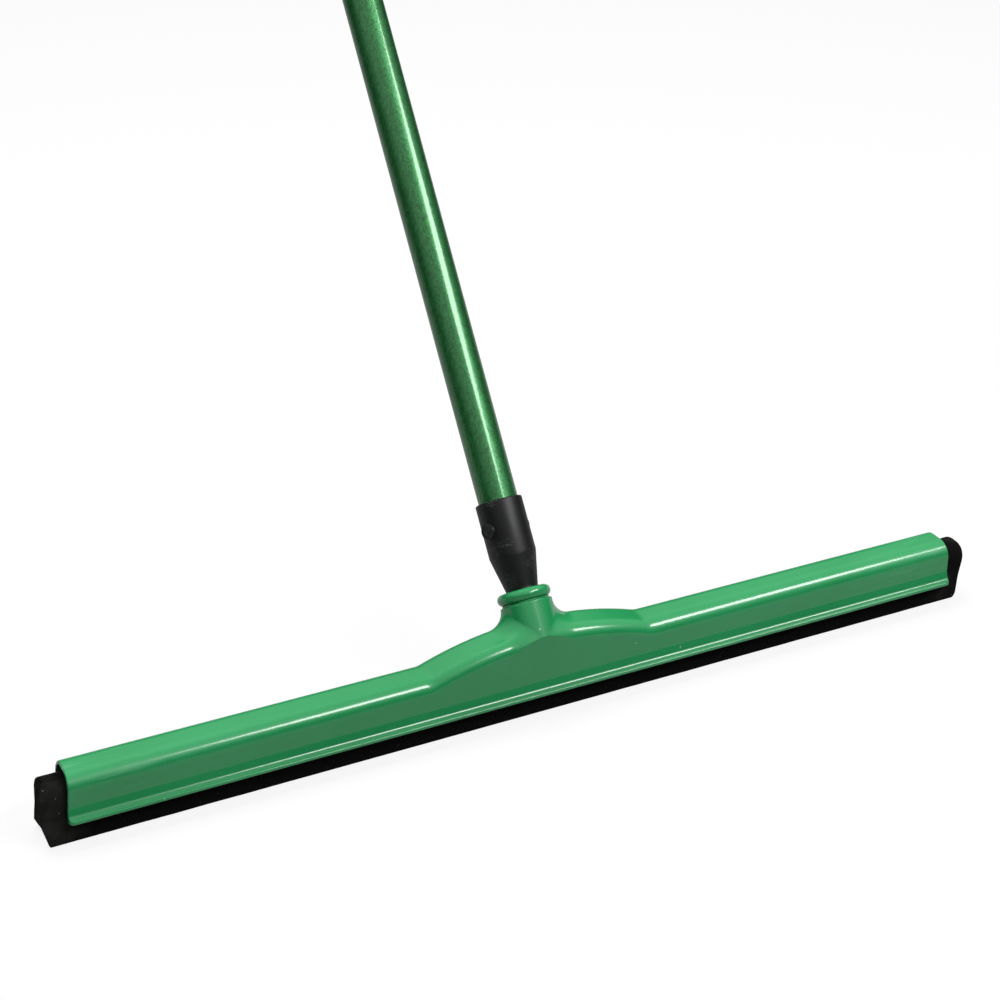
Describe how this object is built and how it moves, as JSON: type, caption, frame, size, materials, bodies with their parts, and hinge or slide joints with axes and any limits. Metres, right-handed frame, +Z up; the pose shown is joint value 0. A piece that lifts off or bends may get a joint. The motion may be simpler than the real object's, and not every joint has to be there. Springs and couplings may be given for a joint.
{
  "type": "floor squeegee",
  "caption": "Floor squeegee with a split foam blade in a moulded channel frame and a long tube handle that screws into a slanted socket.",
  "frame": {"origin": "on the floor, under the middle of the blade's two foam edges", "axes": "+X along the head, +Z up, and +Y to the side that the handle leans to"},
  "size_m": [0.546, 0.8302, 1.1582],
  "materials": {
    "green_plastic": "glossy injection-moulded plastic",
    "black_foam": "matt cellular foam rubber",
    "green_tube": "thin steel tube in glossy metallic green lacquer",
    "black_plastic": "satin moulded plastic with scuffs"
  },
  "bodies": {
    "head": {"squeegee_frame": "green_plastic", "front_foam_strip": "black_foam", "rear_foam_strip": "black_foam"},
    "bush": {"thread_bush": "green_plastic"},
    "handle": {"ferrule": "black_plastic", "ferrule_rivets": "black_plastic", "handle_tube": "green_tube", "hanging_cap": "black_plastic"}
  },
  "joints": [
    {"name": "handle_turn", "type": "hinge", "parent": "head", "child": "bush", "pos_m": [0, 0, 0.041], "axis": [0, 0.5878, 0.809], "range_deg": [0, 1620]},
    {"name": "handle_rise", "type": "slide", "parent": "bush", "child": "handle", "axis": [0, 0.5878, 0.809], "range_m": [0, 0.0225]}
  ],
  "couplings": [
    {"joint": "handle_rise", "follows": "handle_turn", "m_per_rad": 0.00079577}
  ]
}
